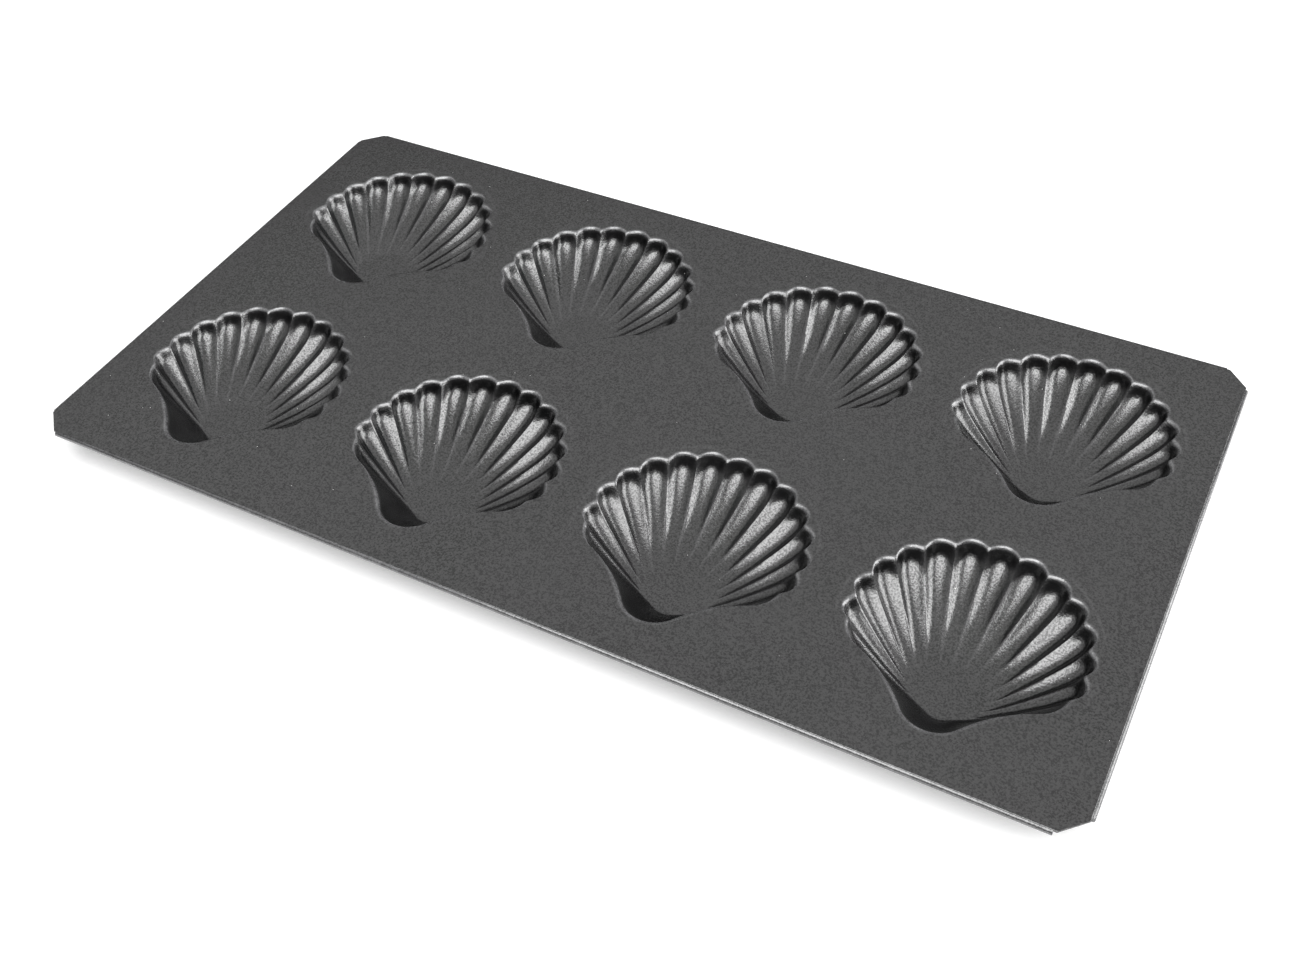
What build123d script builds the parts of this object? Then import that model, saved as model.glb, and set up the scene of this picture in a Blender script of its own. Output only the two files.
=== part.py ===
from build123d import *
import os
from math import atan2, cos, radians, sin, tan

# Madeleine pan: one steel sheet drawn into eight scallop shells, with its four edges folded
# under as flat hems and its corners clipped.
# X runs along the long side. The shells' tips point to the front long side, at -Y. Z is up,
# from the flat floors of the shells, which the pan stands on. The origin is under the middle
# of the sheet. All lengths are in millimetres.
# Each node is one formed region of the sheet: the flat web, the eight shells and the four
# hems. They meet face to face where the real sheet runs on without a seam.

# The sheet, and the hems: the width of their fold, and the gap that a flat hem leaves
# between its leaves. The clipped corners reach past the hems' leaves, so these don't meet.
sheet_gauge = 0.8
hem_width = 7.0
hem_gap = 0.3
hem_end_clearance = 1.5

# The grid of shells: the flat left between the rims of two neighbours, and from the last rim
# to the folded edge
row_names = ("front", "back")
column_count = 4
column_gap = 14.7
row_gap = 20.7
end_margin = 12.95
side_margin = 15.15

# One shell, measured from the centre of its fan. Two flutes meet in a ridge, and each flute's
# rim bulges out to a crest halfway between them.
shell_depth = 12.5
flute_count = 15
flute_angle = 16.4
ridge_radius = 33.0
flute_reach = 2.0
flute_sag = 1.0
rim_bend_radius = 1.2

# The side of the shell below its last flute, down to the rounded tip
neck_x = 25.5
neck_y = -17.1
last_flute_reach = 1.2
flank_bow = 1.4
tip_reach = 35.0
tip_radius = 10.4
tip_half_angle = 53.0

# The smooth floor: the rim drawn in towards the umbo, where the ridges run together, with a
# tip of its own, a run in from the rim's tip
umbo_y = -17.5
floor_share = 0.40
floor_tip_run = 13.5
floor_tip_radius = 6.0
floor_tip_half_angle = 25.0

# Stations on the way in from the rim to the floor: how far in each lies, how deep it is at
# the middle of the fan and at the tip, and how far a flute sags there between its ridges
reach_shares = (0.0, 0.19, 0.41, 1.0)
fan_depth_shares = (0.0, 0.44, 0.80, 1.0)
tip_depth_shares = (0.0, 0.28, 0.54, 1.0)
sag_shares = (0.0, 0.40, 0.90, 0.0)

# The strips between two ridges, and those of the last flutes, the flanks and the tip
flute_strips = 4
last_flute_strips = 2
flank_strips = 3
tip_strips = 4

hem_radius = sheet_gauge + hem_gap / 2
corner_clip = hem_width + hem_end_clearance
sheet_top = shell_depth + sheet_gauge
side_count = (flute_count - 1) / 2
fan_reach = ridge_radius + flute_reach
column_pitch = 2 * fan_reach + column_gap
row_pitch = fan_reach + tip_reach + row_gap
row_count = len(row_names)
sheet_length = column_count * column_pitch - column_gap + 2 * end_margin
sheet_width = row_count * row_pitch - row_gap + 2 * side_margin


def polar(radius, degrees, centre_y=0):
    """A point of the plan, at an angle from +X about a centre on the Y axis."""
    return Vector(radius * cos(radians(degrees)), centre_y + radius * sin(radians(degrees)))


def drawn_in(point):
    """The place on the floor's edge where the line in from a point of the rim ends."""
    umbo = Vector(0, umbo_y)
    return umbo + (point - umbo) * floor_share


def tip_end(side, lowest_y, radius, half_angle):
    """Where a round tip runs out into the flank on one side, -1 at the left and 1 at the right."""
    return polar(radius, side * half_angle - 90, lowest_y + radius)


def bowed(start, end, bow):
    """An arc between two points, its middle a bow to the right of the line that joins them."""
    along = (end - start).normalized()
    middle = (start + end) / 2 + Vector(along.Y, -along.X) * bow
    return Edge.make_three_point_arc(start, middle, end)


class Meridian:
    """One line over the sheet's upper and lower skins, from the rim in to the floor."""

    def __init__(self, rim, floor, turn_share=1, sag=0):
        self.rim = rim
        self.floor = floor
        self.inward = (floor - rim).normalized()
        self.drops = []
        for fan_share, tip_share, sag_share in zip(fan_depth_shares, tip_depth_shares, sag_shares):
            depth_share = fan_share + (tip_share - fan_share) * turn_share
            self.drops.append(shell_depth * depth_share + sag * sag_share)
        self.runs = [(floor - rim).length * reach_share for reach_share in reach_shares]
        self.slopes = [0]
        for station in range(len(self.runs) - 1):
            drop = self.drops[station + 1] - self.drops[station]
            self.slopes.append(atan2(drop, self.runs[station + 1] - self.runs[station]))
        self.slopes.append(0)

    def place(self, run, drop):
        """The point at a distance in from the rim and a depth below the sheet's top."""
        return self.rim + self.inward * run - Vector(0, 0, drop)

    def upper(self):
        """The upper skin's points, with the bend at the rim as one short flat."""
        setback = rim_bend_radius * tan(self.slopes[1] / 2)
        bend_start = self.place(-setback, 0)
        bend_end = self.place(setback * cos(self.slopes[1]), setback * sin(self.slopes[1]))
        rest = [self.place(run, drop) for run, drop in zip(self.runs[1:], self.drops[1:])]
        return [bend_start, bend_end] + rest

    def lower(self):
        """The lower skin's points, one sheet gauge away from the upper skin."""
        points = []
        for station, (run, drop) in enumerate(zip(self.runs, self.drops)):
            before = self.slopes[station]
            after = self.slopes[station + 1]
            away = sheet_gauge / cos((after - before) / 2)
            mean = (before + after) / 2
            points.append(self.place(run - away * sin(mean), drop + away * cos(mean)))
        return points


def stretch_meridians(rim_edge, floor_ends, turn_shares, strip_count, sag=0):
    """The meridians of one stretch of the rim, one for each strip, from its start."""
    meridians = []
    for strip in range(strip_count):
        share = strip / strip_count
        floor_point = floor_ends[0] + (floor_ends[1] - floor_ends[0]) * share
        turn_share = turn_shares[0] + (turn_shares[1] - turn_shares[0]) * share
        sag_here = sag * 4 * share * (1 - share)
        rim_point = rim_edge.position_at(share)
        meridians.append(Meridian(rim_point, floor_point, turn_share, sag_here))
    return meridians


def shell_meridians():
    """All meridians, anticlockwise from the lowest ridge on the right: flutes, then flanks."""
    offsets = [step - side_count + 0.5 for step in range(flute_count - 1)]
    ridges = [polar(ridge_radius, 90 + flute_angle * offset) for offset in offsets]
    landings = [drawn_in(ridge) for ridge in ridges]
    turn_shares = [(offset / side_count) ** 2 for offset in offsets]
    meridians = []
    for step in range(flute_count - 2):
        crest = polar(fan_reach, 90 + flute_angle * (offsets[step] + 0.5))
        rim_edge = Edge.make_three_point_arc(ridges[step], crest, ridges[step + 1])
        floor_ends = landings[step : step + 2]
        ends_turn = turn_shares[step : step + 2]
        meridians += stretch_meridians(rim_edge, floor_ends, ends_turn, flute_strips, flute_sag)

    floor_tip_y = floor_tip_run - tip_reach
    neck = {side: Vector(side * neck_x, neck_y) for side in (-1, 1)}
    tip = {side: tip_end(side, -tip_reach, tip_radius, tip_half_angle) for side in (-1, 1)}
    floor_tip = {
        side: tip_end(side, floor_tip_y, floor_tip_radius, floor_tip_half_angle) for side in (-1, 1)
    }
    landed_neck = {side: drawn_in(neck[side]) for side in (-1, 1)}
    tip_edge = Edge.make_three_point_arc(tip[-1], Vector(0, -tip_reach), tip[1])
    last_left = bowed(ridges[-1], neck[-1], last_flute_reach)
    last_right = bowed(neck[1], ridges[0], last_flute_reach)
    left_flank = bowed(neck[-1], tip[-1], -flank_bow)
    right_flank = bowed(tip[1], neck[1], -flank_bow)
    sides = (
        (last_left, (landings[-1], landed_neck[-1]), (turn_shares[-1], 1), last_flute_strips),
        (left_flank, (landed_neck[-1], floor_tip[-1]), (1, 1), flank_strips),
        (tip_edge, (floor_tip[-1], floor_tip[1]), (1, 1), tip_strips),
        (right_flank, (floor_tip[1], landed_neck[1]), (1, 1), flank_strips),
        (last_right, (landed_neck[1], landings[0]), (1, turn_shares[0]), last_flute_strips),
    )
    for side in sides:
        meridians += stretch_meridians(*side)
    return meridians


def facet(*corners):
    """One flat face with straight sides."""
    return Face(Wire.make_polygon(corners))


def facet_pair(first, second, third, fourth):
    """Two flat facets over a skewed four-sided patch, split along its shorter diagonal."""
    if (third - first).length < (fourth - second).length:
        return [facet(first, second, third), facet(first, third, fourth)]
    return [facet(first, second, fourth), facet(second, third, fourth)]


def cross_face(lines, station):
    """The flat face across the shell at one station of the skin's lines."""
    return facet(*[line[station] for line in lines])


def skin_form(lines):
    """The solid inside one skin of the shell, from the skin's lines from the rim to the floor."""
    faces = [cross_face(lines, 0), cross_face(lines, -1)]
    for line, next_line in zip(lines, lines[1:] + lines[:1]):
        for station in range(len(line) - 1):
            outer = (line[station], next_line[station])
            inner = (next_line[station + 1], line[station + 1])
            faces += facet_pair(*outer, *inner)
    return Solid(Shell(faces))


def make_mouth():
    """The outline of a shell's opening, where the flat sheet starts to bend down, at z = 0."""
    return cross_face([meridian.upper() for meridian in shell_meridians()], 0)


def make_shell():
    """One drawn shell up to the outline of its mouth, with the sheet's top face at z = 0."""
    meridians = shell_meridians()
    upper = skin_form([meridian.upper() for meridian in meridians])
    lower = skin_form([meridian.lower() for meridian in meridians])
    lip = extrude(make_mouth(), sheet_gauge, dir=(0, 0, -1))
    return (lip + lower) - upper


def shell_places(row):
    """Where the shells of one row have the centres of their fans, from the left."""
    row_y = (row - (row_count - 1) / 2) * row_pitch + (tip_reach - fan_reach) / 2
    columns = [(column - (column_count - 1) / 2) * column_pitch for column in range(column_count)]
    return [Pos(column_x, row_y, sheet_top) for column_x in columns]


def make_web():
    """The flat sheet between the hems, with clipped corners and the mouth of each shell cut out."""
    web_length = sheet_length - 2 * hem_radius
    web_width = sheet_width - 2 * hem_radius
    clip = corner_clip - 2 * hem_radius
    blank = chamfer(Rectangle(web_length, web_width).vertices(), clip)
    mouth = make_mouth()
    for row in range(row_count):
        for place in shell_places(row):
            blank -= Pos(place.position.X, place.position.Y) * mouth
    return Pos(0, 0, shell_depth) * extrude(blank, sheet_gauge)


def make_hem(side_length):
    """One folded edge, along X with its fold towards -Y, from the web's edge line at y = 0."""
    leaf_end = hem_width - hem_radius
    upper_leaf = -sheet_gauge
    lower_leaf = upper_leaf - hem_gap
    underside = lower_leaf - sheet_gauge
    middle = -hem_radius
    with BuildPart() as hem:
        with BuildSketch(Plane.YZ):
            with BuildLine():
                ThreePointArc((0, 0), (-hem_radius, middle), (0, underside))
                Line((0, underside), (leaf_end, underside))
                Line((leaf_end, underside), (leaf_end, lower_leaf))
                Line((leaf_end, lower_leaf), (0, lower_leaf))
                ThreePointArc((0, lower_leaf), (-hem_gap / 2, middle), (0, upper_leaf))
                Line((0, upper_leaf), (0, 0))
            make_face()
        extrude(amount=(side_length - 2 * corner_clip) / 2, both=True)
    return hem.part


def make_hems():
    """The four hems, each turned to its own side of the sheet."""
    long_hem = Pos(0, hem_radius - sheet_width / 2, sheet_top) * make_hem(sheet_length)
    short_hem = Pos(0, hem_radius - sheet_length / 2, sheet_top) * make_hem(sheet_width)
    return {
        "front_hem": long_hem,
        "back_hem": Rot(0, 0, 180) * long_hem,
        "left_hem": Rot(0, 0, -90) * short_hem,
        "right_hem": Rot(0, 0, 90) * short_hem,
    }


def main():
    """Build every region of the sheet and write one file for each."""
    os.makedirs("parts", exist_ok=True)
    shell = make_shell()
    nodes = {"flat_web": make_web()}
    for row, row_name in enumerate(row_names):
        for column, place in enumerate(shell_places(row), start=1):
            nodes[f"{row_name}_shell_{column}"] = place * shell
    nodes.update(make_hems())
    for name, solid in nodes.items():
        export_step(solid, f"parts/{name}.step")
        print(name, round(solid.volume), "mm3")


main()
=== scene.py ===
"""A madeleine pan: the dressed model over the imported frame, its studio light and its camera.

The pan is one steel sheet with eight scallop shells drawn into it, four edges folded under as
flat hems, and a dark satin non-stick coating. Sizes are kept in millimetres, and meshes are
written in metres.
"""

import logging
from dataclasses import dataclass, field
from enum import Enum
from math import atan2, cos, pi, radians, sin, sqrt

import bmesh
import bpy
from mathutils import Matrix, Vector

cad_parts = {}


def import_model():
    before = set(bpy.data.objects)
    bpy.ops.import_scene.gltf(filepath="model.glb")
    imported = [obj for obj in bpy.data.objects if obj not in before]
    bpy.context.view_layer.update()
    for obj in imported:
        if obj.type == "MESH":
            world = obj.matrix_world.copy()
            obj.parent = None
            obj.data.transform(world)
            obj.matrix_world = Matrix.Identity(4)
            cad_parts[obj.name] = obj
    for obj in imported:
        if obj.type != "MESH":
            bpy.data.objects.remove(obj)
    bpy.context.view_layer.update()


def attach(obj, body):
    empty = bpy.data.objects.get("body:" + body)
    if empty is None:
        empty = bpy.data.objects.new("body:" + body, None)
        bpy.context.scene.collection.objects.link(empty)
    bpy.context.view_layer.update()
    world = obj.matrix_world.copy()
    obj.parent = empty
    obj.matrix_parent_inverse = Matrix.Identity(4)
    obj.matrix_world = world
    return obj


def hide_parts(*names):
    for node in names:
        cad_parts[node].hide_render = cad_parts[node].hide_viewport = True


MM = 0.001
TOUCH = 1e-6  # metres within which two places count as one
UPRIGHT = 0.1  # a face whose normal leans less than this up or down is an upright edge
log = logging.getLogger("madeleine_pan")


def softened(value: float, softness: float) -> float:
    """A height from 0 to 1 whose sharp start at 0 is rounded."""
    rounding = softness * softness
    return (sqrt(value**2 + rounding) - softness) / (sqrt(1 + rounding) - softness)


class Side(Enum):
    """A side of the sheet, as the turn that carries the front hem to it, in degrees."""

    FRONT = 0
    RIGHT = 90
    BACK = 180
    LEFT = 270


class Region(Enum):
    """A formed region of the sheet. Each is dressed with its own marks of use and forming, and the
    shells and hems also with painted highlights.
    """

    WEB = "web"
    SHELL = "shell"
    HEM = "hem"


@dataclass
class Graph:
    """A node tree, with short calls that add and join its nodes."""

    tree: bpy.types.NodeTree

    def feed(self, socket: bpy.types.NodeSocket, value: object) -> None:
        """Join a socket to another one, or give it a plain value.

        Args:
            socket: The input to feed.
            value: An output socket, a number or a tuple of numbers.
        """
        if isinstance(value, bpy.types.NodeSocket):
            self.tree.links.new(value, socket)
        else:
            socket.default_value = value

    def add(self, kind: str, settings: dict | None = None, **inputs: object) -> bpy.types.Node:
        """Add a node.

        Args:
            kind: The node's type, without its leading ShaderNode.
            settings: The node's own properties.
            inputs: Values for its inputs, by name with underscores for spaces.

        Returns:
            The new node.
        """
        node = self.tree.nodes.new(f"ShaderNode{kind}")
        for name, value in (settings or {}).items():
            setattr(node, name, value)
        for name, value in inputs.items():
            self.feed(node.inputs[name.replace("_", " ")], value)
        return node

    def maths(self, operation: str, *terms: object, clamp: bool = False) -> bpy.types.NodeSocket:
        """Add a Math node.

        Args:
            operation: The node's operation.
            terms: What it works on, in order.
            clamp: Whether the result is kept from 0 to 1.

        Returns:
            The result.
        """
        node = self.add("Math", {"operation": operation, "use_clamp": clamp})
        for socket, term in zip(node.inputs, terms):
            self.feed(socket, term)
        return node.outputs[0]

    def ramp(self, value: object, low: float, high: float) -> bpy.types.NodeSocket:
        """Ease a value from 0 at one level to 1 at another.

        Args:
            value: The value to ease.
            low: Where the result is 0.
            high: Where the result is 1, which may be below the other.

        Returns:
            The result, from 0 to 1.
        """
        settings = {"interpolation_type": "SMOOTHSTEP"}
        node = self.add("MapRange", settings, Value=value, From_Min=low, From_Max=high)
        return node.outputs["Result"]

    def blend(self, share: object, first: object, second: object) -> bpy.types.NodeSocket:
        """Mix two colours.

        Args:
            share: How much of the second one there is, from 0 to 1.
            first: The colour at 0.
            second: The colour at 1.

        Returns:
            The mixed colour.
        """
        node = self.add("Mix", {"data_type": "RGBA"})
        factor, first_colour, second_colour, mixed = 0, 6, 7, 2
        self.feed(node.inputs[factor], share)
        self.feed(node.inputs[first_colour], first)
        self.feed(node.inputs[second_colour], second)
        return node.outputs[mixed]

    def switch(self, share: object, first: object, second: object) -> bpy.types.NodeSocket:
        """Mix two numbers.

        Args:
            share: How much of the second one there is, from 0 to 1.
            first: The number at 0.
            second: The number at 1.

        Returns:
            The mixed number.
        """
        node = self.add("Mix", {"data_type": "FLOAT"})
        factor, first_number, second_number, mixed = 0, 2, 3, 0
        self.feed(node.inputs[factor], share)
        self.feed(node.inputs[first_number], first)
        self.feed(node.inputs[second_number], second)
        return node.outputs[mixed]

    def noise(self, place: object, size_mm: float, detail: float) -> bpy.types.NodeSocket:
        """Add noise with grains of about one size.

        Args:
            place: The position it is read at.
            size_mm: The size of a grain.
            detail: How many finer layers lie on it.

        Returns:
            The noise, from 0 to 1.
        """
        scale = 1 / (size_mm * MM)
        node = self.add("TexNoise", Vector=place, Scale=scale, Detail=detail, Roughness=0.6)
        return node.outputs["Fac"]

    def length(self, vector: object) -> bpy.types.NodeSocket:
        """Add the length of a vector and return it."""
        return self.add("VectorMath", {"operation": "LENGTH"}, Vector=vector).outputs["Value"]

    def effect(self, group: bpy.types.NodeTree, place: object, **inputs: float) -> bpy.types.Node:
        """Place a shared effect with this material's own values.

        Args:
            group: The effect's node group.
            place: The position it is read at.
            inputs: Its values, by name.

        Returns:
            The group's node.
        """
        return self.add("Group", {"node_tree": group}, Position=place, **inputs)


@dataclass(frozen=True)
class SurfaceEffects:
    """The effects that all regions share, each one a node group that is built once.

    Lengths are in millimetres. A noise is the size of its grains and its detail, and a pair of
    levels is where an effect starts and where it is full.
    """

    column_pitch: float
    row_pitch: float
    coarse_noise: tuple = (0.62, 1.0)
    fine_noise: tuple = (0.40, 2.0)
    coarse_share: float = 0.6
    tone_levels: tuple = (0.42, 0.62)
    patch_noise: tuple = (45.0, 3.0)
    patch_levels: tuple = (0.35, 0.68)
    rub_noise: tuple = (7.0, 4.0)
    rub_levels: tuple = (0.45, 0.75)
    speck_spacing: float = 2.6
    speck_levels: tuple = (0.055, 0.03)
    mark_radius: float = 36.0
    mark_wander: float = 2.4
    wander_noise: tuple = (22.0, 1.0)
    mark_levels: tuple = (0.9, 0.1)
    break_noise: tuple = (16.0, 2.0)
    break_levels: tuple = (0.42, 0.62)
    fan_side_levels: tuple = (-22.0, -4.0)

    def new_group(self, name: str, inputs: dict, outputs: tuple) -> tuple:
        """Start a node group.

        Args:
            name: The group's name.
            inputs: Its inputs and their starting numbers, besides Position.
            outputs: The names of its outputs.

        Returns:
            The graph, the node that gives the inputs and the node that takes the outputs.
        """
        tree = bpy.data.node_groups.new(name, "ShaderNodeTree")
        tree.interface.new_socket("Position", in_out="INPUT", socket_type="NodeSocketVector")
        for label, value in inputs.items():
            socket = tree.interface.new_socket(label, in_out="INPUT", socket_type="NodeSocketFloat")
            socket.default_value = value
        for label in outputs:
            tree.interface.new_socket(label, in_out="OUTPUT", socket_type="NodeSocketFloat")
        entry = tree.nodes.new("NodeGroupInput")
        exit_node = tree.nodes.new("NodeGroupOutput")
        return Graph(tree), entry, exit_node

    def grain(self) -> bpy.types.NodeTree:
        """The sprayed coating's fine grain: a height, and a tone that flecks its colour.

        Returns:
            The node group.
        """
        outputs = ("Height", "Tone")
        graph, entry, result = self.new_group("coating_grain", {"Coarseness": 1.0}, outputs)
        spread = graph.add("VectorMath", {"operation": "DIVIDE"})
        graph.feed(spread.inputs[0], entry.outputs["Position"])
        graph.feed(spread.inputs[1], entry.outputs["Coarseness"])
        coarse = graph.noise(spread.outputs[0], *self.coarse_noise)
        fine = graph.noise(spread.outputs[0], *self.fine_noise)
        fine_part = graph.maths("MULTIPLY", fine, 1 - self.coarse_share)
        height = graph.maths("MULTIPLY_ADD", coarse, self.coarse_share, fine_part)
        graph.feed(result.inputs["Height"], height)
        graph.feed(result.inputs["Tone"], graph.ramp(height, *self.tone_levels))
        return graph.tree

    def clouding(self) -> bpy.types.NodeTree:
        """Broad soft patches where the coating lies thicker or has been rubbed.

        Returns:
            The node group.
        """
        graph, entry, result = self.new_group("coating_clouding", {}, ("Patch", "Rub"))
        place = entry.outputs["Position"]
        patch = graph.ramp(graph.noise(place, *self.patch_noise), *self.patch_levels)
        rub = graph.ramp(graph.noise(place, *self.rub_noise), *self.rub_levels)
        graph.feed(result.inputs["Patch"], patch)
        graph.feed(result.inputs["Rub"], rub)
        return graph.tree

    def specks(self) -> bpy.types.NodeTree:
        """Tiny pale specks of dust, thinly strewn.

        Returns:
            The node group.
        """
        graph, entry, result = self.new_group("pale_specks", {"Share": 0.05}, ("Mask",))
        settings = {"feature": "F1", "distance": "EUCLIDEAN"}
        scale = 1 / (self.speck_spacing * MM)
        cells = graph.add("TexVoronoi", settings, Vector=entry.outputs["Position"], Scale=scale)
        dot = graph.ramp(cells.outputs["Distance"], *self.speck_levels)
        split = graph.add("SeparateColor", Color=cells.outputs["Color"])
        chosen = graph.maths("LESS_THAN", split.outputs[0], entry.outputs["Share"])
        graph.feed(result.inputs["Mask"], graph.maths("MULTIPLY", dot, chosen))
        return graph.tree

    def draw_marks(self) -> bpy.types.NodeTree:
        """The faint arc that the drawing tool leaves on the flat sheet around each shell's fan.

        Returns:
            The node group.
        """
        radius_input = {"Radius": self.mark_radius * MM}
        graph, entry, result = self.new_group("draw_marks", radius_input, ("Mask",))
        place = entry.outputs["Position"]
        axes = graph.add("SeparateXYZ", Vector=place)
        pitches = (self.column_pitch * MM, self.row_pitch * MM)
        offsets = []
        for axis, pitch in zip(("X", "Y"), pitches):
            cell = graph.maths("FLOORED_MODULO", axes.outputs[axis], pitch)
            offsets.append(graph.maths("SUBTRACT", cell, pitch / 2))
        local = graph.add("CombineXYZ", X=offsets[0], Y=offsets[1])
        span = graph.length(local.outputs[0])
        wander = graph.noise(place, *self.wander_noise)
        radius = graph.maths("MULTIPLY_ADD", wander, self.mark_wander * MM, entry.outputs["Radius"])
        away = graph.maths("ABSOLUTE", graph.maths("SUBTRACT", span, radius))
        line = graph.ramp(away, *(level * MM for level in self.mark_levels))
        kept = graph.ramp(graph.noise(place, *self.break_noise), *self.break_levels)
        fan_side = graph.ramp(offsets[1], *(level * MM for level in self.fan_side_levels))
        mask = graph.maths("MULTIPLY", graph.maths("MULTIPLY", line, kept), fan_side)
        graph.feed(result.inputs["Mask"], mask)
        return graph.tree


@dataclass(frozen=True)
class Coating:
    """The dark non-stick coating over the steel, as it lies on one region of the sheet."""

    region: Region
    colour: tuple = (0.0018, 0.0018, 0.0019, 1.0)
    fleck_colour: tuple = (0.017, 0.017, 0.0174, 1.0)
    # Light grey laid on wear, and as a painted highlight on the shells' rim bends and ridges and on
    # the hems' folds.
    wear_and_highlight_colour: tuple = (0.34, 0.34, 0.348, 1.0)
    speck_colour: tuple = (0.72, 0.72, 0.70, 1.0)
    refraction: float = 1.9
    roughness: float = 0.22
    roughness_swing: float = 0.05
    wear_and_highlight_roughness_change: float = -0.06
    grain_coarseness: float = 1.0
    grain_depth_mm: float = 0.090
    fleck_share: float = 0.50
    fleck_evenness: float = 0.4
    fleck_clouding: float = 0.9
    glint_loss: float = 0.50
    speck_share: float = 0.05
    wear_and_highlight_strength: float = 0.5
    mark_wear: float = 0.08
    unrubbed_wear_and_highlight: float = 0.6

    def material(self, effects: dict) -> bpy.types.Material:
        """Make the region's material.

        Args:
            effects: The shared node groups by name.

        Returns:
            The material.
        """
        material = bpy.data.materials.new(f"{self.region.value}_coating")
        material.use_nodes = True
        material.node_tree.nodes.clear()
        graph = Graph(material.node_tree)
        place = graph.add("TexCoord").outputs["Object"]
        grain = graph.effect(effects["grain"], place, Coarseness=self.grain_coarseness)
        clouding = graph.effect(effects["clouding"], place)
        specks = graph.effect(effects["specks"], place, Share=self.speck_share)
        patch = clouding.outputs["Patch"]

        fleck = graph.maths("MULTIPLY", grain.outputs["Tone"], self.fleck_share)
        clouded = graph.maths("MULTIPLY_ADD", patch, self.fleck_clouding, self.fleck_evenness)
        fleck = graph.maths("MULTIPLY", fleck, clouded)
        # Wear and painted highlight: the web's draw marks, and the rim bends, ridges and hem folds
        # painted lighter.
        wear_and_highlight_share = self.wear_and_highlight_mask(graph, effects["draw_marks"], place, clouding.outputs["Rub"])
        colour = graph.blend(fleck, self.colour, self.fleck_colour)
        colour = graph.blend(wear_and_highlight_share, colour, self.wear_and_highlight_colour)
        colour = graph.blend(specks.outputs["Mask"], colour, self.speck_colour)

        swing = graph.maths("SUBTRACT", patch, 0.5)
        roughness = graph.maths("MULTIPLY_ADD", swing, self.roughness_swing, self.roughness)
        roughness = graph.maths("MULTIPLY_ADD", wear_and_highlight_share, self.wear_and_highlight_roughness_change, roughness)

        bump = graph.add("Bump", Height=grain.outputs["Height"], Strength=1.0)
        bump.inputs["Distance"].default_value = self.grain_depth_mm * MM
        dulled = graph.maths("MULTIPLY", grain.outputs["Tone"], self.glint_loss)
        shader = graph.add("BsdfPrincipled", Base_Color=colour, Metallic=dulled)
        graph.feed(shader.inputs["Roughness"], roughness)
        graph.feed(shader.inputs["Normal"], bump.outputs["Normal"])
        shader.inputs["IOR"].default_value = self.refraction
        out = graph.add("OutputMaterial")
        graph.feed(out.inputs["Surface"], shader.outputs["BSDF"])
        return material

    def wear_and_highlight_mask(
        self,
        graph: Graph,
        draw_marks: bpy.types.NodeTree,
        place: bpy.types.NodeSocket,
        rub: bpy.types.NodeSocket,
    ) -> bpy.types.NodeSocket:
        """Where the coating of this region is worn or marked, and where the shells and hems carry a
        painted highlight.

        Args:
            graph: The material's graph.
            draw_marks: The node group of the drawing tool's marks.
            place: The position the marks are read at.
            rub: The rubbed patches, from 0 to 1.

        Returns:
            The mask, from 0 to 1.
        """
        if self.region is Region.WEB:
            marks = graph.effect(draw_marks, place).outputs["Mask"]
            return graph.maths("MULTIPLY", marks, self.mark_wear * self.wear_and_highlight_strength)
        # The edge attribute holds painted highlights on rim bends, ridges and hem folds, and the
        # wear on rims and hem ends.
        edge = graph.add("Attribute", {"attribute_name": "edge"}).outputs["Fac"]
        rubbed = graph.maths("MULTIPLY_ADD", rub, 1 - self.unrubbed_wear_and_highlight, self.unrubbed_wear_and_highlight)
        return graph.maths("MULTIPLY", graph.maths("MULTIPLY", edge, rubbed), self.wear_and_highlight_strength)


@dataclass(frozen=True)
class RimStation:
    """One line of the shell, from its rim in to the floor."""

    rim: Vector
    floor: Vector
    turn: float
    swell: float

    @property
    def run(self) -> float:
        """The length of the line in the plan."""
        return (self.floor - self.rim).length

    def mirrored(self) -> "RimStation":
        """The same line on the shell's other side."""
        flip = Vector((-1, 1))
        return RimStation(self.rim * flip, self.floor * flip, self.turn, self.swell)


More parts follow.
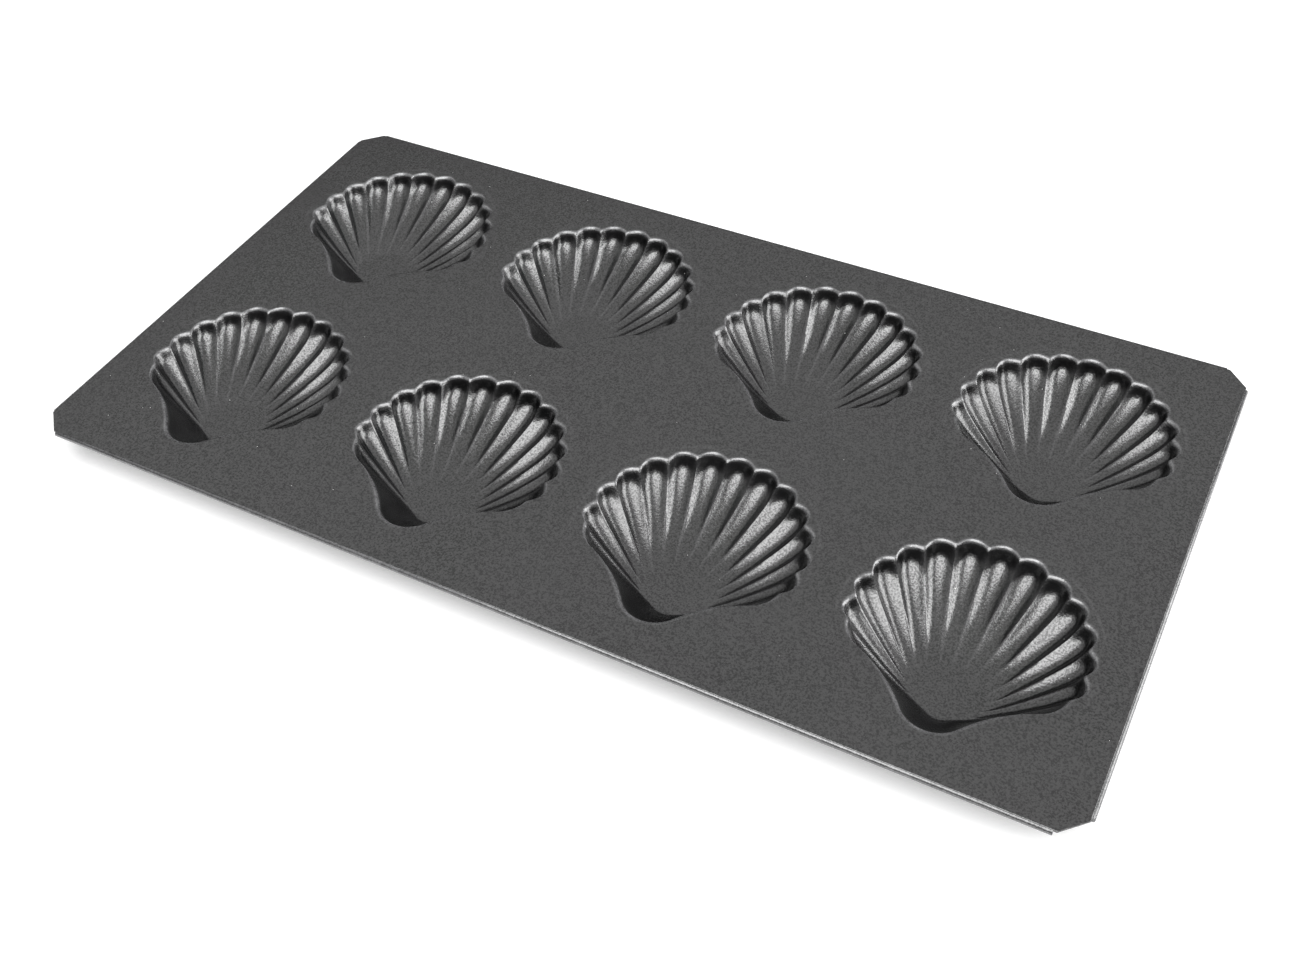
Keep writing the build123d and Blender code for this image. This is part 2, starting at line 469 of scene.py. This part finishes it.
@dataclass(frozen=True)
class ShellForm:
    """The form of one drawn shell about the centre of its fan, in millimetres.

    The fan's flutes stand between ridges that run together on the floor. A flank and the rounded
    tip close the shell at the front. A bowl is the power of the curve from the wall's foot down
    to the floor.
    """

    depth: float = 12.5
    gauge: float = 0.8
    flute_count: int = 15
    flute_angle: float = 16.4
    ridge_radius: float = 33.0
    flute_reach: float = 2.0
    flute_sag: float = 1.20
    sag_lead: float = 0.6
    side_flattening: float = 0.85
    ridge_softness: float = 0.10
    neck: tuple = (25.5, -17.1)
    last_flute_reach: float = 1.2
    last_flute_swell: float = 0.45
    flank_bow: float = 1.4
    tip_reach: float = 35.0
    tip_radius: float = 10.4
    tip_half_angle: float = 53.0
    floor_centre_y: float = -12.0
    floor_radii: tuple = (10.2, 8.8)
    landing_angle: float = 20.3
    floor_tip_half_angle: float = 12.0
    wall_slope: float = 2.2
    ridge_slope: float = 1.1
    wall_foot_drop: float = 3.5
    tip_foot_drop: float = 1.5
    wall_foot_softness: float = 1.2
    fan_bowl: float = 1.2
    tip_bowl: float = 1.2
    floor_softness: float = 0.16
    bend: float = 0.9
    lip: float = 1.4
    flute_steps: int = 16
    last_flute_steps: int = 14
    flank_steps: int = 22
    tip_steps: int = 18
    wall_rings: int = 26
    ring_crowding: float = 1.25
    floor_ring_shrinks: tuple = (0.7, 0.5, 0.4)

    def swell(self, share: float) -> float:
        """How far a flute bulges between its two ridges, from 0 at a ridge to 1 at its crest."""
        return softened(sin(pi * share), self.ridge_softness)

    def landing(self, degrees: float) -> Vector:
        """A point of the floor's edge.

        Args:
            degrees: Its angle from +X about the floor's centre.

        Returns:
            The point.
        """
        angle = radians(degrees)
        across, along = self.floor_radii
        return Vector((across * cos(angle), self.floor_centre_y + along * sin(angle)))

    def bowed(self, start: Vector, end: Vector, bow: float, share: float) -> Vector:
        """A point of the shallow arc between two points.

        Args:
            start: Where the arc starts.
            end: Where it ends.
            bow: How far its middle lies to the right of the chord.
            share: How far along the arc the point is.

        Returns:
            The point.
        """
        chord = end - start
        outward = Vector((chord.y, -chord.x)).normalized()
        half_turn = 2 * atan2(2 * bow, chord.length)
        radius = chord.length / (2 * sin(half_turn))
        angle = half_turn * (2 * share - 1)
        along = 0.5 + sin(angle) / (2 * sin(half_turn))
        return start + chord * along + outward * (radius * (cos(angle) - cos(half_turn)))

    def stations(self) -> list[RimStation]:
        """All lines of the shell, anticlockwise from the lowest ridge on the right.

        Returns:
            The lines.
        """
        side_count = (self.flute_count - 1) / 2
        stations = []
        for flute in range(self.flute_count - 2):
            for step in range(self.flute_steps):
                share = step / self.flute_steps
                offset = flute - side_count + 0.5 + share
                angle = radians(90 + self.flute_angle * offset)
                way = Vector((cos(angle), sin(angle)))
                swell = self.swell(share)
                rim = way * (self.ridge_radius + self.flute_reach * swell)
                floor = self.landing(90 + self.landing_angle * offset)
                stations.append(RimStation(rim, floor, (offset / side_count) ** 2, swell))
        left = self.flank_stations(side_count)
        mirrored = [station.mirrored() for station in left[:0:-1]]
        return stations + left + self.tip_stations() + mirrored

    def flank_stations(self, side_count: float) -> list[RimStation]:
        """The lines of the left side below the fan, from its last ridge down to the tip.

        Args:
            side_count: How many flutes lie on each side of the middle one.

        Returns:
            The lines.
        """
        last_offset = side_count - 0.5
        angle = radians(90 + self.flute_angle * last_offset)
        ridge = Vector((cos(angle), sin(angle))) * self.ridge_radius
        neck = Vector((-self.neck[0], self.neck[1]))
        tip_angle = radians(-90 - self.tip_half_angle)
        tip_centre = Vector((0, self.tip_radius - self.tip_reach))
        tip = tip_centre + Vector((cos(tip_angle), sin(tip_angle))) * self.tip_radius
        neck_landing = 90 + self.landing_angle * side_count
        tip_landing = 270 - self.floor_tip_half_angle
        first_turn = (last_offset / side_count) ** 2
        stations = []
        for step in range(self.last_flute_steps):
            share = step / self.last_flute_steps
            rim = self.bowed(ridge, neck, self.last_flute_reach, share)
            floor = self.landing(neck_landing - self.landing_angle / 2 * (1 - share))
            turn = first_turn + (1 - first_turn) * share
            swell = self.last_flute_swell * self.swell(share) * sqrt(1 - share)
            stations.append(RimStation(rim, floor, turn, swell))
        for step in range(self.flank_steps + 1):
            share = step / self.flank_steps
            rim = self.bowed(neck, tip, -self.flank_bow, share)
            floor = self.landing(neck_landing + (tip_landing - neck_landing) * share)
            stations.append(RimStation(rim, floor, 1, 0))
        return stations

    def tip_stations(self) -> list[RimStation]:
        """The lines of the rounded tip, between the two flanks.

        Returns:
            The lines, from the left.
        """
        tip_centre = Vector((0, self.tip_radius - self.tip_reach))
        stations = []
        for step in range(1, self.tip_steps):
            side = 2 * step / self.tip_steps - 1
            angle = radians(-90 + self.tip_half_angle * side)
            rim = tip_centre + Vector((cos(angle), sin(angle))) * self.tip_radius
            floor = self.landing(-90 + self.floor_tip_half_angle * side)
            stations.append(RimStation(rim, floor, 1, 0))
        return stations

    def drop(self, station: RimStation, inward: float) -> float:
        """How deep the upper face lies at a distance in from the rim.

        Args:
            station: The line of the shell.
            inward: The distance in from the rim, negative on the flat outside it.

        Returns:
            The depth below the sheet's top.
        """
        if inward <= -self.bend:
            return 0.0
        run = inward
        if inward < self.bend:
            run = (inward + self.bend) ** 2 / (4 * self.bend)
        share = min(run / station.run, 1.0)
        bowl = self.bowl_drop(station, run) - self.bowl_drop(station, 0.0)
        whole = self.bowl_drop(station, station.run) - self.bowl_drop(station, 0.0)
        sag = self.flute_sag * (1 - self.side_flattening * station.turn) * station.swell
        sag *= sin(pi * share**self.sag_lead) ** 2
        return min(self.depth * bowl / whole + sag, self.depth)

    def bowl_drop(self, station: RimStation, run: float) -> float:
        """The steep wall under the rim, eased into the shallow bowl below it.

        Args:
            station: The line of the shell.
            run: The distance in from the rim, measured past its bend.

        Returns:
            The depth, before the whole line is fitted to the shell's depth.
        """
        steepness = max(station.swell, station.turn**4)
        wall = (self.ridge_slope + (self.wall_slope - self.ridge_slope) * steepness) * run
        share = min(run / station.run, 1.0)
        power = self.fan_bowl + (self.tip_bowl - self.fan_bowl) * station.turn
        foot = self.wall_foot_drop + (self.tip_foot_drop - self.wall_foot_drop) * station.turn
        left = softened(1 - share, self.floor_softness)
        bowl = foot + (self.depth - foot) * (1 - left**power)
        return (wall + bowl - sqrt((wall - bowl) ** 2 + self.wall_foot_softness**2)) / 2

    def point(self, station: RimStation, inward: float) -> Vector:
        """A point of the upper face, with the sheet's top at z = 0.

        Args:
            station: The line of the shell.
            inward: The distance in from the rim, negative on the flat outside it.

        Returns:
            The point, in metres.
        """
        flat = station.rim + (station.floor - station.rim).normalized() * inward
        return Vector((flat.x, flat.y, -self.drop(station, inward))) * MM

    def ring_distances(self, station: RimStation) -> list[float]:
        """Where the rings of the mesh cross one line.

        Args:
            station: The line of the shell.

        Returns:
            The distances in from the rim, in order.
        """
        distances = [-self.lip, -self.bend, -self.bend / 2, 0.0, self.bend / 2, self.bend]
        for ring in range(1, self.wall_rings + 1):
            share = (ring / self.wall_rings) ** self.ring_crowding
            distances.append(self.bend + (station.run - self.bend) * share)
        return distances


@dataclass
class PanPiece:
    """What every piece of the pan does once its mesh is made."""

    name: str
    nodes: tuple
    material: bpy.types.Material
    slot: str = "coated_steel"

    def finish_mesh(self, bm: bmesh.types.BMesh, sharp_angle: float = 45.0) -> bpy.types.Object:
        """Turn a bmesh into the piece's object, dress it and set it in the frame.

        Args:
            bm: The finished bmesh, in metres in the row's frame. It is freed.
            sharp_angle: The angle between faces, in degrees, past which an edge stays sharp.

        Returns:
            The object.
        """
        mesh = bpy.data.meshes.new(self.name)
        bm.to_mesh(mesh)
        bm.free()
        mesh.shade_smooth()
        mesh.set_sharp_from_angle(angle=radians(sharp_angle))
        piece = bpy.data.objects.new(self.name, mesh)
        bpy.context.scene.collection.objects.link(piece)
        mesh.materials.append(self.material)
        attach(piece, "root")
        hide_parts(*self.nodes)
        stands_for = ", ".join(self.nodes)
        log.info("%s: %d faces, stands for %s", self.name, len(mesh.polygons), stands_for)
        return piece

    def break_edges(self, bm: bmesh.types.BMesh, edges: list, width: float) -> None:
        """Round sharp cut edges.

        Args:
            bm: The piece's bmesh.
            edges: The edges to round.
            width: The rounding's width, in millimetres.
        """
        bmesh.ops.bevel(
            bm,
            geom=edges,
            offset=width * MM,
            offset_type="OFFSET",
            affect="EDGES",
            segments=2,
            profile=0.5,
            material=-1,
        )


@dataclass
class Shell(PanPiece):
    """One drawn shell, out to the flat lip around its mouth."""

    form: ShellForm = field(default_factory=ShellForm)
    centre: Vector = field(default_factory=Vector)
    # The rim's bend is painted lighter as wear and as a painted highlight, and the ridges as a
    # painted highlight.
    rim_wear_and_highlight_offset: float = 0.3
    rim_wear_and_highlight_reach: float = 0.81
    ridge_highlight: float = 0.25
    ridge_highlight_narrowness: float = 3.5
    fan_turn: float = 0.9

    def build(self) -> bpy.types.Object:
        """Draw the upper face, give it the sheet's gauge, and dress it.

        Returns:
            The object.
        """
        bm = bmesh.new()
        edges = self.draw_wall(bm)
        self.close_floor(bm, edges)
        bmesh.ops.recalc_face_normals(bm, faces=bm.faces[:])
        if sum(face.normal.z for face in bm.faces) < 0:
            bmesh.ops.reverse_faces(bm, faces=bm.faces[:])
        self.thicken(bm)
        bmesh.ops.translate(bm, vec=self.centre, verts=bm.verts[:])
        return self.finish_mesh(bm)

    def draw_wall(self, bm: bmesh.types.BMesh) -> list:
        """Draw the lip and the fluted wall, ring by ring.

        Args:
            bm: An empty bmesh.

        Returns:
            The edges of the last ring, on the floor.
        """
        number = bm.verts.layers.int.new("station")
        # Per-vertex wear and painted highlight, read by the material as the edge attribute.
        edge_wear_and_highlight = bm.verts.layers.float.new("edge")
        stations = self.form.stations()
        distances = [self.form.ring_distances(station) for station in stations]
        reach = self.form.tip_reach * MM
        ring = bmesh.ops.create_circle(bm, segments=len(stations), radius=reach)["verts"]
        for index, vert in enumerate(ring):
            vert[number] = index
            vert.co = self.form.point(stations[index], distances[index][0])
        edges = bm.edges[:]
        for level in range(1, len(distances[0])):
            ring, edges = self.extrude_ring(bm, edges)
            for vert in ring:
                index = vert[number]
                inward = distances[index][level]
                vert.co = self.form.point(stations[index], inward)
                vert[edge_wear_and_highlight] = self.wear_and_highlight_at(stations[index], inward)
        return edges

    def close_floor(self, bm: bmesh.types.BMesh, edges: list) -> None:
        """Fill the flat floor inside the wall.

        Args:
            bm: The shell's bmesh.
            edges: The edges of the wall's last ring.
        """
        middle = Vector((0, self.form.floor_centre_y, -self.form.depth)) * MM
        for shrink in self.form.floor_ring_shrinks:
            ring, edges = self.extrude_ring(bm, edges)
            for vert in ring:
                vert.co = middle + (vert.co - middle) * shrink
        cap = bmesh.ops.edgeloop_fill(bm, edges=edges)["faces"]
        bmesh.ops.poke(bm, faces=cap)

    def extrude_ring(self, bm: bmesh.types.BMesh, edges: list) -> tuple[list, list]:
        """Extrude a ring of edges.

        Args:
            bm: The shell's bmesh.
            edges: The ring's edges.

        Returns:
            The new ring's vertices and edges.
        """
        made = bmesh.ops.extrude_edge_only(bm, edges=edges)["geom"]
        verts = [item for item in made if isinstance(item, bmesh.types.BMVert)]
        return verts, [item for item in made if isinstance(item, bmesh.types.BMEdge)]

    def wear_and_highlight_at(self, station: RimStation, inward: float) -> float:
        """How much wear and painted highlight a place gets: both along the rim's bend, and a
        painted highlight on the ridges.

        Args:
            station: The line of the shell.
            inward: The distance in from the rim.

        Returns:
            The wear and painted highlight, from 0 to 1.
        """
        # Wear and painted highlight along the rim's bend.
        rim = max(0.0, 1 - abs(inward + self.rim_wear_and_highlight_offset) / self.rim_wear_and_highlight_reach)
        if station.turn >= self.fan_turn:
            return rim
        share = min(max(inward / station.run, 0.0), 1.0)
        # Painted highlight along the ridges' crests.
        ridge = max(0.0, 1 - self.ridge_highlight_narrowness * station.swell)
        return max(rim, self.ridge_highlight * ridge * sqrt(sin(pi * share)))

    def thicken(self, bm: bmesh.types.BMesh) -> None:
        """Close the sheet with a lower face one gauge below the upper one.

        Args:
            bm: The shell's bmesh, which holds its upper face.
        """
        made = bmesh.ops.extrude_face_region(bm, geom=bm.faces[:], use_keep_orig=True)["geom"]
        lower = [item for item in made if isinstance(item, bmesh.types.BMVert)]
        bm.normal_update()
        ways = {}
        for vert in lower:
            own = [face for face in vert.link_faces if abs(face.normal.z) > UPRIGHT]
            way = sum((face.normal * face.calc_area() for face in own), Vector())
            if any(abs(face.normal.z) < UPRIGHT for face in vert.link_faces):
                way = Vector((0, 0, 1))
            ways[vert] = way.normalized() if way.z > 0 else -way.normalized()
        for vert, way in ways.items():
            vert.co -= way * (self.form.gauge * MM)
        bmesh.ops.recalc_face_normals(bm, faces=bm.faces[:])


@dataclass
class Web(PanPiece):
    """The flat sheet between the hems, with clipped corners and a mouth for each shell."""

    form: ShellForm = field(default_factory=ShellForm)
    centres: list = field(default_factory=list)
    length: float = 348.1
    width: float = 189.1
    clip: float = 6.6
    top: float = 13.3
    cut_bevel: float = 0.16
    sharp_angle: float = 10.0

    def build(self) -> bpy.types.Object:
        """Fill the flat face between the outline and the mouths, thicken it and dress it.

        Returns:
            The object.
        """
        bm = bmesh.new()
        outline = bmesh.ops.create_circle(bm, segments=8, radius=self.length * MM)["verts"]
        for vert, corner in zip(outline, self.corners()):
            vert.co = (corner[0] * MM, corner[1] * MM, self.top * MM)
        stations = self.form.stations()
        for centre in self.centres:
            mouth = bmesh.ops.create_circle(bm, segments=len(stations), radius=MM)["verts"]
            for vert, station in zip(mouth, stations):
                vert.co = centre + self.form.point(station, -self.form.lip)
        bmesh.ops.triangle_fill(bm, use_beauty=True, edges=bm.edges[:], normal=(0, 0, 1))
        made = bmesh.ops.extrude_face_region(bm, geom=bm.faces[:], use_keep_orig=True)["geom"]
        lower = [item for item in made if isinstance(item, bmesh.types.BMVert)]
        bmesh.ops.translate(bm, vec=(0, 0, -self.form.gauge * MM), verts=lower)
        bmesh.ops.recalc_face_normals(bm, faces=bm.faces[:])
        self.break_cut_edges(bm)
        return self.finish_mesh(bm, self.sharp_angle)

    def corners(self) -> list[tuple[float, float]]:
        """The outline's eight corners.

        Returns:
            Their places, anticlockwise from the right end of the front side.
        """
        half_x, half_y, clip = self.length / 2, self.width / 2, self.clip
        return [
            (half_x - clip, -half_y),
            (half_x, clip - half_y),
            (half_x, half_y - clip),
            (half_x - clip, half_y),
            (clip - half_x, half_y),
            (-half_x, half_y - clip),
            (-half_x, clip - half_y),
            (clip - half_x, -half_y),
        ]

    def break_cut_edges(self, bm: bmesh.types.BMesh) -> None:
        """Round the sharp edges of the cut across each corner.

        Args:
            bm: The web's bmesh.
        """
        reach = (self.length / 2 + self.width / 2 - self.clip) * MM
        cut = [
            edge
            for edge in bm.edges
            if all(abs(abs(v.co.x) + abs(v.co.y) - reach) < TOUCH for v in edge.verts)
            and abs(edge.verts[0].co.z - edge.verts[1].co.z) < TOUCH
        ]
        self.break_edges(bm, cut, self.cut_bevel)


@dataclass
class Hem(PanPiece):
    """One edge of the sheet, folded under and pressed flat."""

    side: Side = Side.FRONT
    length: float = 333.0
    edge_distance: float = 95.5
    top: float = 13.3
    gauge: float = 0.8
    gap: float = 0.3
    width: float = 7.0
    fold_steps: int = 20
    cut_bevel: float = 0.14
    cut_angle: float = 60.0
    sharp_angle: float = 40.0
    end_wear: float = 0.7
    end_wear_reach: float = 0.4

    def build(self) -> bpy.types.Object:
        """Spin and extrude the fold's section, carry it along the side, and dress it.

        Returns:
            The object.
        """
        radius = self.gauge + self.gap / 2
        bm = bmesh.new()
        start = -self.length / 2 * MM
        upper = bm.verts.new((start, 0, 0))
        lower = bm.verts.new((start, 0, -self.gauge * MM))
        sheet_end = bm.edges.new((upper, lower))
        turned = bmesh.ops.spin(
            bm,
            geom=[upper, lower, sheet_end],
            cent=(start, 0, -radius * MM),
            axis=(1, 0, 0),
            angle=pi,
            steps=self.fold_steps,
            use_duplicate=False,
        )["geom_last"]
        leaf = [item for item in turned if isinstance(item, bmesh.types.BMEdge)]
        made = bmesh.ops.extrude_edge_only(bm, edges=leaf)["geom"]
        leaf_end = [item for item in made if isinstance(item, bmesh.types.BMVert)]
        bmesh.ops.translate(bm, vec=(0, (self.width - radius) * MM, 0), verts=leaf_end)
        bmesh.ops.remove_doubles(bm, verts=bm.verts[:], dist=TOUCH)
        made = bmesh.ops.extrude_face_region(bm, geom=bm.faces[:], use_keep_orig=True)["geom"]
        far = [item for item in made if isinstance(item, bmesh.types.BMVert)]
        bmesh.ops.translate(bm, vec=(self.length * MM, 0, 0), verts=far)
        bmesh.ops.recalc_face_normals(bm, faces=bm.faces[:])
        self.break_cut_ends(bm)
        edge_wear_and_highlight = bm.verts.layers.float.new("edge")
        near_end = (self.length / 2 - self.end_wear_reach) * MM
        for vert in bm.verts:
            # Painted highlight on the fold's outer face. The cut ends near the corners are worn.
            crown = max(0.0, -vert.co.y / (radius * MM))
            vert[edge_wear_and_highlight] = max(crown, self.end_wear) if abs(vert.co.x) > near_end else crown
        place = Matrix.Rotation(radians(self.side.value), 4, "Z") @ Matrix.Translation(
            Vector((0, radius - self.edge_distance, self.top)) * MM
        )
        bmesh.ops.transform(bm, matrix=place, verts=bm.verts[:])
        return self.finish_mesh(bm, self.sharp_angle)

    def break_cut_ends(self, bm: bmesh.types.BMesh) -> None:
        """Round the edges of the two cut ends, except where the web's sheet meets the fold.

        Args:
            bm: The hem's bmesh, along +X about x = 0.
        """
        half = self.length / 2 * MM
        cut = [
            edge
            for edge in bm.edges
            if len(edge.link_faces) == 2
            and edge.calc_face_angle() > radians(self.cut_angle)
            and not all(abs(vert.co.y) < TOUCH for vert in edge.verts)
            and all(abs(abs(vert.co.x) - half) < TOUCH for vert in edge.verts)
        ]
        self.break_edges(bm, cut, self.cut_bevel)


@dataclass(frozen=True)
class SoftBox:
    """A large soft lamp, placed by its direction from the pan."""

    name: str
    zenith_angle: float
    azimuth: float
    width: float
    height: float
    radiance: float
    distance: float = 2.2

    def build(self) -> None:
        """Make the lamp, facing the pan, with its width level."""
        lamp = bpy.data.lights.new(self.name, "AREA")
        lamp.shape = "RECTANGLE"
        lamp.size = self.width
        lamp.size_y = self.height
        lamp.energy = pi * self.width * self.height * self.radiance
        zenith, azimuth = radians(self.zenith_angle), radians(self.azimuth)
        toward = Vector((sin(zenith) * cos(azimuth), sin(zenith) * sin(azimuth), cos(zenith)))
        box = bpy.data.objects.new(self.name, lamp)
        box.location = toward * self.distance
        box.rotation_euler = toward.to_track_quat("Z", "Y").to_euler()
        bpy.context.scene.collection.objects.link(box)


@dataclass(frozen=True)
class Studio:
    """The floor, the surround, the lamps and the camera.

    The surround is white, with three dark parts that show as the dark side of the pan's
    reflections. A pair of levels is where such a part starts and where it is fully dark.
    """

    camera_place: tuple = (177.2, -302.3, 338.95)
    camera_right: tuple = (0.88502, 0.46373, -0.04113)
    camera_up: tuple = (-0.31093, 0.65453, 0.68914)
    lens: float = 40.51
    sensor: float = 36.0
    view_range: tuple = (0.01, 50.0)
    floor_half: float = 4.0
    floor_depth_mm: float = 0.05
    floor_colour: tuple = (0.76, 0.76, 0.76, 1.0)
    floor_glow: float = 0.35
    glow_reach: tuple = (0.6, 1.8)
    surround_level: float = 1.0
    surround_fill: float = 0.15
    dark_level: float = 0.025
    dark_front: tuple = (-0.70, -0.86)
    dark_right: tuple = (0.93, 0.98)
    dark_low: tuple = (0.58, 0.43)
    lamps: tuple = (
        SoftBox("right_softbox", 65, 31, 1.8, 1.5, 6.2),
        SoftBox("front_softbox", 20, -80, 2.2, 1.7, 5.7),
    )

    def build(self) -> None:
        """Set up the whole studio."""
        self.build_floor()
        self.build_surround()
        for lamp in self.lamps:
            lamp.build()
        self.build_camera()
        bpy.context.scene.view_settings.view_transform = "Standard"

    def build_floor(self) -> None:
        """Lay the white floor, which keeps the pan's shadow and glows more away from it."""
        bm = bmesh.new()
        bmesh.ops.create_grid(bm, x_segments=1, y_segments=1, size=self.floor_half)
        bmesh.ops.translate(bm, vec=(0, 0, -self.floor_depth_mm * MM), verts=bm.verts[:])
        mesh = bpy.data.meshes.new("studio_floor")
        bm.to_mesh(mesh)
        bm.free()
        floor = bpy.data.objects.new("studio_floor", mesh)
        bpy.context.scene.collection.objects.link(floor)
        material = bpy.data.materials.new("studio_floor")
        material.use_nodes = True
        material.node_tree.nodes.clear()
        graph = Graph(material.node_tree)
        path = graph.add("LightPath").outputs
        seen = graph.maths("ADD", path["Is Camera Ray"], self.mirrored_share(graph), clamp=True)
        plain = graph.add("BsdfDiffuse", Color=self.floor_colour)
        reach = graph.length(graph.add("TexCoord").outputs["Object"])
        away = graph.ramp(reach, *self.glow_reach)
        level = graph.maths("MULTIPLY_ADD", away, 1.0 - self.floor_glow, self.floor_glow)
        glow = graph.add("Emission", Strength=graph.maths("MULTIPLY", seen, level))
        total = graph.add("AddShader")
        graph.feed(total.inputs[0], plain.outputs[0])
        graph.feed(total.inputs[1], glow.outputs[0])
        graph.feed(graph.add("OutputMaterial").inputs["Surface"], total.outputs[0])
        mesh.materials.append(material)

    def mirrored_share(self, graph: Graph) -> bpy.types.NodeSocket:
        """1 for rays from a reflection or through glass, and 0 for others."""
        path = graph.add("LightPath").outputs
        return graph.maths("ADD", path["Is Glossy Ray"], path["Is Transmission Ray"], clamp=True)

    def build_surround(self) -> None:
        """Surround the set with white, whose dark parts only reflections show."""
        world = bpy.data.worlds.new("studio_surround")
        bpy.context.scene.world = world
        world.use_nodes = True
        world.node_tree.nodes.clear()
        graph = Graph(world.node_tree)
        axes = graph.add("SeparateXYZ", Vector=graph.add("TexCoord").outputs["Generated"])
        front = graph.ramp(axes.outputs["Y"], *self.dark_front)
        right = graph.ramp(axes.outputs["X"], *self.dark_right)
        low = graph.ramp(axes.outputs["Z"], *self.dark_low)
        dark = graph.maths("MAXIMUM", graph.maths("MAXIMUM", front, right), low)
        mirrored = graph.switch(dark, self.surround_level, self.dark_level)
        level = graph.switch(self.mirrored_share(graph), self.surround_fill, mirrored)
        from_camera = graph.add("LightPath").outputs["Is Camera Ray"]
        level = graph.switch(from_camera, level, self.surround_level)
        white = graph.add("Background", Color=(1, 1, 1, 1), Strength=level)
        graph.feed(graph.add("OutputWorld").inputs["Surface"], white.outputs[0])

    def build_camera(self) -> None:
        """Set the camera where the photograph was taken from."""
        lens = bpy.data.cameras.new("photo_camera")
        lens.lens = self.lens
        lens.sensor_width = self.sensor
        lens.sensor_fit = "HORIZONTAL"
        lens.clip_start, lens.clip_end = self.view_range
        right = Vector(self.camera_right).normalized()
        back = right.cross(Vector(self.camera_up)).normalized()
        up = back.cross(right)
        turn = Matrix((right, up, back)).transposed().to_4x4()
        camera = bpy.data.objects.new("photo_camera", lens)
        bpy.context.scene.collection.objects.link(camera)
        camera.matrix_world = Matrix.Translation(Vector(self.camera_place) * MM) @ turn
        bpy.context.scene.camera = camera


@dataclass
class MadeleinePan:
    """The whole pan: the web, the grid of shells and the four hems."""

    column_pitch: float = 84.7
    row_pitch: float = 90.7
    column_count: int = 4
    row_names: tuple = ("front", "back")
    sheet_length: float = 350.0
    sheet_width: float = 191.0
    corner_clip: float = 8.5
    sheet_top: float = 13.3
    form: ShellForm = field(default_factory=ShellForm)

    def shell_centres(self) -> dict[str, Vector]:
        """Where the shells stand.

        Returns:
            The centre of each shell's fan on the sheet's top, by the name of its node.
        """
        centres = {}
        for row, row_name in enumerate(self.row_names):
            for column in range(self.column_count):
                x = (column - (self.column_count - 1) / 2) * self.column_pitch
                y = (row - (len(self.row_names) - 1) / 2) * self.row_pitch
                centres[f"{row_name}_shell_{column + 1}"] = Vector((x, y, self.sheet_top)) * MM
        return centres

    def build(self) -> None:
        """Build and dress every region of the sheet."""
        shared = SurfaceEffects(self.column_pitch, self.row_pitch)
        effects = {
            "grain": shared.grain(),
            "clouding": shared.clouding(),
            "specks": shared.specks(),
            "draw_marks": shared.draw_marks(),
        }
        web_coating = Coating(Region.WEB).material(effects)
        shell_coating = Coating(Region.SHELL, wear_and_highlight_strength=0.60).material(effects)
        hem_coating = Coating(Region.HEM, wear_and_highlight_strength=0.50).material(effects)
        centres = self.shell_centres()
        places = list(centres.values())
        Web("web_sheet", ("flat_web",), web_coating, form=self.form, centres=places).build()
        for node, centre in centres.items():
            Shell(f"drawn_{node}", (node,), shell_coating, form=self.form, centre=centre).build()
        long_side = self.sheet_length - 2 * self.corner_clip
        short_side = self.sheet_width - 2 * self.corner_clip
        for side in Side:
            is_long = side in (Side.FRONT, Side.BACK)
            node = f"{side.name.lower()}_hem"
            Hem(
                f"folded_{node}",
                (node,),
                hem_coating,
                side=side,
                length=long_side if is_long else short_side,
                edge_distance=(self.sheet_width if is_long else self.sheet_length) / 2,
            ).build()


def main() -> None:
    """Load the frame and build the pan and its studio."""
    logging.basicConfig(level=logging.INFO, format="%(message)s")
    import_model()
    MadeleinePan().build()
    Studio().build()
    bpy.context.view_layer.update()


if __name__ == "__main__":
    main()
